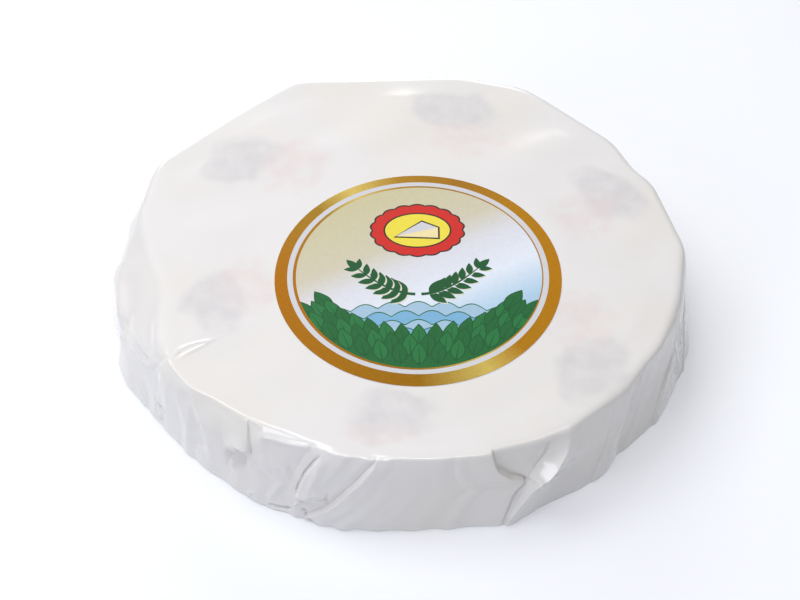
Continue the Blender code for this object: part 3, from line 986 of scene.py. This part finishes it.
def tinted_ground(centre, reach):
    """The sticker's ground: a printed blend from warm cream through pale grey to light blue."""
    material, tree, shader, place = new_material("tinted_ground", VARNISHED)
    across = add(tree, "Mapping", {
        "Vector": place, "Location": centre, "Rotation": (0, 0, radians(SKY_HEADING)),
        "Scale": (reach * MM, reach * MM, 1)}, vector_type="TEXTURE")
    way_across = add(tree, "SeparateXYZ", {"Vector": across}).outputs["X"]
    share = add(tree, "MapRange", {"Value": way_across, "From Min": -1.0})
    mottle = add(tree, "TexNoise", {"Vector": place, **INK_MOTTLE})
    colour_by_blend(tree, shader, share, SKY_STOPS, mottle, SKY_DRIFT)
    return material


print(len(SKY_STOPS), "tones across the ground")

# %% [markdown]
# What is printed
#
# The print is built the way a printer builds it: flat shapes laid over each other in order. Each
# shape is a closed outline in millimetres round the sticker's middle. The design is a plain one:
# rings, a scalloped seal with a wedge of cheese, two leafy branches, waves and a garland.

# %% Shape tools
prints = []


def lay(ink_name, shape):
    """Add a shape to the print, on top of those before it, with its points in turning order."""
    before = shape[-1:] + shape[:-1]
    area = sum(a[0] * b[1] - b[0] * a[1] for a, b in zip(before, shape))
    prints.append((ink_name, shape if area > 0 else shape[::-1]))


def oval(centre, across, tall, sides=72, scallops=0, depth=0.0):
    """An ellipse, whose edge may swell in and out in scallops."""
    points = []
    for side in range(sides):
        a = 2 * pi * side / sides
        swell = 1 + depth * abs(sin(a * scallops / 2))
        points.append((centre[0] + across * swell * cos(a), centre[1] + tall * swell * sin(a)))
    return points


def stroke(points, width, tip=0.3):
    """A line with width, thinner towards its end."""
    left, right = [], []
    for index, (x, y) in enumerate(points):
        before, after = points[max(index - 1, 0)], points[min(index + 1, len(points) - 1)]
        heading = atan2(after[1] - before[1], after[0] - before[0])
        half = width / 2 * (1 - (1 - tip) * index / (len(points) - 1))
        left.append((x - half * sin(heading), y + half * cos(heading)))
        right.append((x + half * sin(heading), y - half * cos(heading)))
    return left + right[::-1]


print("a round shape has", len(oval((0, 0), 1, 1)), "points")

# %% Leaves
LEAF_STEPS = 9
# A power below one moves the widest place outwards, and another fills out the sides
LEAF_BELLY = 0.85
LEAF_FULLNESS = 0.9
# The rim of a veined leaf, how much shorter and narrower its fill is, and its vein
LEAF_RIM = 0.5
FILL_SHORTER = 1.1
FILL_NARROWER = 0.8
VEIN_SHARES = (0.05, 0.4, 0.75)
VEIN_WIDTH = 0.5


def leaf(root, heading, length, width):
    """A pointed leaf that starts at its root and grows along its heading, in degrees."""
    c, s = cos(radians(heading)), sin(radians(heading))
    side = [(0.0, 0.0)]
    for step in range(1, LEAF_STEPS):
        share = step / LEAF_STEPS
        side.append((length * share, width / 2 * sin(pi * share ** LEAF_BELLY) ** LEAF_FULLNESS))
    side.append((length, 0.0))
    side += [(way_out, -half) for way_out, half in side[-2:0:-1]]
    return [(root[0] + c * u - s * v, root[1] + s * u + c * v) for u, v in side]


def veined_leaf(fill, line, root, heading, length, width):
    """A leaf with a rim and a middle vein in a second ink."""
    c, s = cos(radians(heading)), sin(radians(heading))
    lay(line, leaf(root, heading, length, width))
    inner = (root[0] + c * LEAF_RIM, root[1] + s * LEAF_RIM)
    lay(fill, leaf(inner, heading, length - FILL_SHORTER, width - FILL_NARROWER))
    vein = [(root[0] + c * length * t, root[1] + s * length * t) for t in VEIN_SHARES]
    lay(line, stroke(vein, VEIN_WIDTH))


print("a leaf has", len(leaf((0, 0), 0, 10, 4)), "points")

# %% Rings
LABEL_RADIUS = 48.0
FIELD_RADIUS = 41.2
# The print sits this far above the sticker's middle
PRINT_SHIFT = 0.9
# The gold rings' colour carries painted highlights and painted shade
RINGS = (
    ("gold_ink", (0, 0), LABEL_RADIUS, 240), ("white_ink", (0, PRINT_SHIFT), 43.8, 180),
    ("gold_ink", (0, PRINT_SHIFT), 41.95, 180),
    ("tinted_ground", (0.3, PRINT_SHIFT), FIELD_RADIUS, 180),
)
for name, centre, reach, sides in RINGS:
    lay(name, oval(centre, reach, reach, sides))
print("the rings take", len(prints), "shapes")

# %% Waves
# Height of each row's crests, and its ink
WAVE_ROWS = (
    (-13.5, "pale_blue_ink"), (-17.5, "sky_blue_ink"), (-21.5, "pale_blue_ink"),
    (-25.0, "sky_blue_ink"),
)
# Width and rise of a wave, how much a row sags towards its ends, and its thin line on top
WAVE_PITCH = 9.0
WAVE_RISE = 2.4
WAVE_SAG = 0.004
WAVE_LINE = 0.45
# A row runs this far to each side, past the field's edge, in this many steps
FIELD_SIDE = 42
WAVE_STEPS = 60


def filled_below(line, bottom):
    """A line that runs to the right, closed by two corners far down. The field cuts it off."""
    return line + [(FIELD_SIDE, bottom), (-FIELD_SIDE, bottom)]


for row, (crest, name) in enumerate(WAVE_ROWS):
    line = []
    for step in range(-WAVE_STEPS, WAVE_STEPS + 1):
        x = step * FIELD_SIDE / WAVE_STEPS
        hump = abs(cos(pi * (x / WAVE_PITCH + row / 2)))
        line.append((x, crest + WAVE_RISE * hump - WAVE_SAG * x * x))
    lay("leaf_green_ink", filled_below(line, -60))
    lay(name, filled_below([(x, y - WAVE_LINE) for x, y in line], -61))
print("the print has", len(prints), "shapes with its waves")

# %% Garland
# The ground behind the leaves, which rises towards its ends
MEADOW_TOP = -29.5
MEADOW_CURVE = 0.006
# Distance of each row of leaves from the middle, and the length and width of its leaves
LEAF_ROWS = ((33.0, 11.0, 5.6), (36.5, 10.5, 5.4), (40.0, 10.0, 5.2))
LEAVES = 15
# Where the garland starts and how far round it runs, in degrees, and how much its leaves fan out
GARLAND_START = 210
GARLAND_SPAN = 120
FAN_OUT = 0.55
meadow = [(x, MEADOW_TOP + MEADOW_CURVE * x * x) for x in range(-FIELD_SIDE, FIELD_SIDE + 1, 2)]
lay("leaf_green_ink", filled_below(meadow, -60))
for row, (reach, length, width) in enumerate(LEAF_ROWS):
    # Every second row has one leaf less and stands between those of its neighbours
    for index in range(LEAVES - row % 2):
        place = GARLAND_START + GARLAND_SPAN * (index + 0.5 * (row % 2)) / (LEAVES - 1)
        root = (reach * cos(radians(place)), reach * sin(radians(place)) + PRINT_SHIFT)
        fan = 90 + (270 - place) * FAN_OUT
        name = "moss_green_ink" if (index + row) % 2 else "leaf_green_ink"
        veined_leaf(name, "deep_green_ink", root, fan, length, width)
print("the print has", len(prints), "shapes with its garland")

# %% Branches
STEM_STEPS = 14
# Where the right stem starts, how far it runs out and up, the power of its bend, and its width
STEM_START = (1.0, -8.0)
STEM_REACH = 19.0
STEM_RISE = 11.5
STEM_BEND = 1.8
STEM_WIDTH = 1.3
# Length and width of the first and of the last leaflet. The others shrink towards the tip
LEAFLET = (7.6, 3.4)
LAST_LEAFLET = (6.0, 2.8)
LEAFLET_SPREAD = 48
LEAFLET_SHRINK = 0.35
SHADOW = 0.5
for side in (-1, 1):
    shares = [step / STEM_STEPS for step in range(STEM_STEPS + 1)]
    stem = [(side * (STEM_START[0] + STEM_REACH * t), STEM_START[1] + STEM_RISE * t ** STEM_BEND)
            for t in shares]
    for step in range(2, STEM_STEPS + 1, 2):
        (x, y), (before_x, before_y) = stem[step], stem[step - 1]
        heading = np.degrees(atan2(y - before_y, x - before_x))
        length, width = [size * (1 - LEAFLET_SHRINK * step / STEM_STEPS) for size in LEAFLET]
        for spread in (-LEAFLET_SPREAD, LEAFLET_SPREAD):
            lay("shadow_ink", leaf((x + SHADOW, y - SHADOW), heading + spread, length, width))
            lay("deep_green_ink", leaf((x, y), heading + spread, length, width))
    lay("deep_green_ink", leaf(stem[-1], heading, *LAST_LEAFLET))
    lay("deep_green_ink", stroke(stem, STEM_WIDTH))
print("the print has", len(prints), "shapes with its branches")

# %% Seal
SEAL_PLACE = (0.0, 21.5)
# Half width and half height of each ring, then its sides, scallops and their depth
SEAL_RINGS = (
    ("line_ink", 15.6, 12.0, 144, 18, 0.055), ("signal_red_ink", 15.0, 11.4, 144, 18, 0.055),
    ("line_ink", 11.6, 8.3), ("warm_yellow_ink", 11.0, 7.7),
)
# The corners of the wedge of cheese, and how far its dark rim stands out at each
WEDGE = ((-7.4, -2.8), (7.0, -3.6), (7.0, 1.2), (1.5, 4.0))
WEDGE_RIM = ((-0.9, -0.6), (0.6, -0.7), (0.6, 0.3), (0.0, 0.7))
for name, *sizes in SEAL_RINGS:
    lay(name, oval(SEAL_PLACE, *sizes))
wedge = [(SEAL_PLACE[0] + x, SEAL_PLACE[1] + y) for x, y in WEDGE]
lay("line_ink", [(x + aside, y + up) for (x, y), (aside, up) in zip(wedge, WEDGE_RIM)])
lay("white_ink", wedge)
lay("cream_ink", wedge[:3])
print("the print has", len(prints), "shapes in all")

# %% [markdown]
# Printing the sticker
#
# Overlapping shapes can't simply be stacked as thin sheets: they would flicker and cast shadows. A
# constrained triangulation cuts them all into one flat mesh, and says which shapes cover each
# triangle. The last one laid is the ink that shows. The die-cut edge is pulled down as a thin wall.

# %% Make the sticker
LABEL_BOTTOM = HEIGHT + LABEL_PRESS + 0.01
LABEL_TOP = HEIGHT + LABEL_PRESS + 0.16
CUT_TOLERANCE = 1e-5
RIM_TOLERANCE = 0.02
SHOWN_SIDE = 1


def ink_of(shapes):
    """The ink that shows where these shapes lie over each other. The picture stays in its field."""
    if len(RINGS) - 1 not in shapes:
        shapes = [shape for shape in shapes if shape < len(RINGS)]
    return prints[max(shapes)][0]


def make_label():
    """The round sticker: one flat printed mesh with a thin edge and a back."""
    points, outlines = [], []
    for _, shape in prints:
        outlines.append(list(range(len(points), len(points) + len(shape))))
        points += [Vector(point) for point in shape]
    flat, _, faces, _, _, covers = delaunay_2d_cdt(
        points, [], outlines, SHOWN_SIDE, CUT_TOLERANCE)
    x, y = slide + LABEL_CENTRE
    verts = [((p.x + x) * MM, (p.y + y) * MM, LABEL_TOP * MM) for p in flat]
    kept = [(face, ink_of(cover)) for face, cover in zip(faces, covers) if 0 in cover]
    inks = sorted({name for _, name in kept})
    rim = sorted(
        (index for index, p in enumerate(flat) if abs(p.length - LABEL_RADIUS) < RIM_TOLERANCE),
        key=lambda index: atan2(flat[index].y, flat[index].x))
    low = list(range(len(verts), len(verts) + len(rim)))
    verts += [(verts[index][0], verts[index][1], LABEL_BOTTOM * MM) for index in rim]
    walls = [(a, b, d, c) for a, b, c, d in zip(low, low[1:] + low[:1], rim, rim[1:] + rim[:1])]
    mesh = bpy.data.meshes.new("printed_label")
    mesh.from_pydata(verts, [], [face for face, _ in kept] + walls + [low[::-1]])
    for polygon, (_, name) in zip(mesh.polygons, kept):
        polygon.material_index = inks.index(name)
    for polygon in mesh.polygons[len(kept):]:
        polygon.material_index = inks.index("white_ink")
    return put_in_scene("printed_label", mesh), inks


label, inks = make_label()
print("the sticker has", len(label.data.polygons), "faces in", len(inks), "inks")

# %% Ink the sticker
INKS = {
    "white_ink": ("#c2c3c7", "#c8c9cd"),
    "pale_blue_ink": ("#94b4ca", "#a0bdd2"),
    "sky_blue_ink": ("#6ca2c6", "#7aaccd"),
    "leaf_green_ink": ("#0d5826", "#176630"),
    "moss_green_ink": ("#1f743a", "#176630"),
    "deep_green_ink": ("#084a20", "#0c5529"),
    "shadow_ink": ("#c9c9b8", "#cfcfc2"),
    "line_ink": ("#1e1a14", "#2a241c"),
    "signal_red_ink": ("#c01a12", "#c82418"),
    "warm_yellow_ink": ("#dccb38", "#e4d548"),
    "cream_ink": ("#e0cf98", "#e6d8a8"),
}
label_middle = tuple(np.append(slide + LABEL_CENTRE, HEIGHT) * MM)
for name in inks:
    if name == "gold_ink":
        label.data.materials.append(gold_ink(label_middle))
    elif name == "tinted_ground":
        label.data.materials.append(tinted_ground(label_middle, FIELD_RADIUS))
    else:
        label.data.materials.append(ink(name, *INKS[name]))
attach(label, "root")
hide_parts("label")
print("inked:", ", ".join(inks))

# %% [markdown]
# Floor, light and camera
#
# A pale floor and large soft lights keep every white surface apart from its neighbour by tone
# alone. The widest box hangs over the left and smaller ones over the front and the right, so the
# top is brightest, the front and left walls a step darker and the right wall darkest. The paper's
# film mirrors the boxes, and where a sharp fold turns through the right slant it gets a thin white
# line. A small box stands where the facet beside the pressed-in corner mirrors it, and one behind
# lights the far rim. A dim sky and the floor's own glow fill the shadows.

# %% Floor
FLOOR_SIZE = 6.0
FLOOR_TONES = ("#cacdd3", "#cdcfd3")
FLOOR_GLOW = "#fbfcff"
FLOOR_PATCH = 333


def make_floor():
    """A wide floor of matt pale paint, faintly clouded, under the object."""
    half = FLOOR_SIZE / 2
    corners = [(-half, -half, 0), (half, -half, 0), (half, half, 0), (-half, half, 0)]
    mesh = bpy.data.meshes.new("floor")
    mesh.from_pydata(corners, [], [(0, 1, 2, 3)])
    material, tree, shader, place = new_material("floor_paint", {
        "Roughness": 0.7, "Emission Color": linear(FLOOR_GLOW), "Emission Strength": 0.28})
    cloud = add(tree, "TexNoise", {"Vector": place, "Scale": patches(FLOOR_PATCH)})
    light, deep = [linear(tone) for tone in FLOOR_TONES]
    colour = add(tree, "Mix", {"Factor": cloud, MIX_A: light, MIX_B: deep}, data_type="RGBA")
    fill(tree, shader, {"Base Color": colour.outputs[MIX_RESULT]})
    mesh.materials.append(material)
    return put_in_scene("floor", mesh)


floor = make_floor()
print("floor of", FLOOR_SIZE, "m")

# %% Light
AIM = Vector((0.0, 0.0, 0.02))
# Place and side in metres, power in watts, and colour
SOFT_BOXES = (
    ("front_top_box", (0.0, -0.5, 1.3), 0.6, 5.8, "#fffefc"),
    ("left_top_box", (-0.6, 0.15, 1.25), 1.0, 12.4, "#fffefc"),
    ("right_top_box", (0.49, 0.0, 1.26), 0.4, 1.2, "#fffefc"),
    ("front_left_box", (-0.8, -0.84, 0.76), 0.45, 3.3, "#e9edfd"),
    ("back_box", (-0.2, 1.5, 0.6), 0.9, 9.6, "#fffefd"),
)
SKY_TINT = "#eef1ff"
SKY_STRENGTH = 0.17
for name, place, size, power, colour in SOFT_BOXES:
    lamp = bpy.data.lights.new(name, "AREA")
    lamp.size = size
    lamp.energy = power
    lamp.color = linear(colour)[:3]
    box = put_in_scene(name, lamp)
    box.location = place
    box.rotation_euler = (AIM - Vector(place)).to_track_quat("-Z", "Y").to_euler()
world = bpy.data.worlds.new("studio")
bpy.context.scene.world = world
world.use_nodes = True
fill(world.node_tree, world.node_tree.nodes["Background"],
     {"Color": linear(SKY_TINT), "Strength": SKY_STRENGTH})
bpy.context.scene.view_settings.view_transform = "Standard"
print(len(SOFT_BOXES), "soft boxes and a pale sky")

# %% Camera
# Millimetres and degrees. The camera looks at a place that is counted from the cheese's middle.
LENS = 99.0
ELEVATION = 47.69
ROLL = -0.38
DISTANCE = 729.0
LOOK_AT = (-1.5, -22.0, 36.4)
CLIP_START = 0.05


def make_camera():
    """The camera of the view from the front, above the wheel, looking down by its elevation."""
    camera = put_in_scene("camera", bpy.data.cameras.new("camera"))
    camera.data.lens = LENS
    camera.data.clip_start = CLIP_START
    e, r = radians(ELEVATION), radians(ROLL)
    ahead = Vector((0, cos(e), -sin(e)))
    level_right, level_up = Vector((1, 0, 0)), Vector((0, sin(e), cos(e)))
    right = level_right * cos(r) + level_up * sin(r)
    up = level_up * cos(r) - level_right * sin(r)
    target = Vector((LOOK_AT[0] + slide[0], LOOK_AT[1] + slide[1], LOOK_AT[2])) * MM
    turn = Matrix((right, up, -ahead)).transposed().to_4x4()
    camera.matrix_world = Matrix.Translation(target - ahead * DISTANCE * MM) @ turn
    return camera


bpy.context.scene.camera = make_camera()
print("camera at", [round(v, 3) for v in bpy.context.scene.camera.matrix_world.translation])
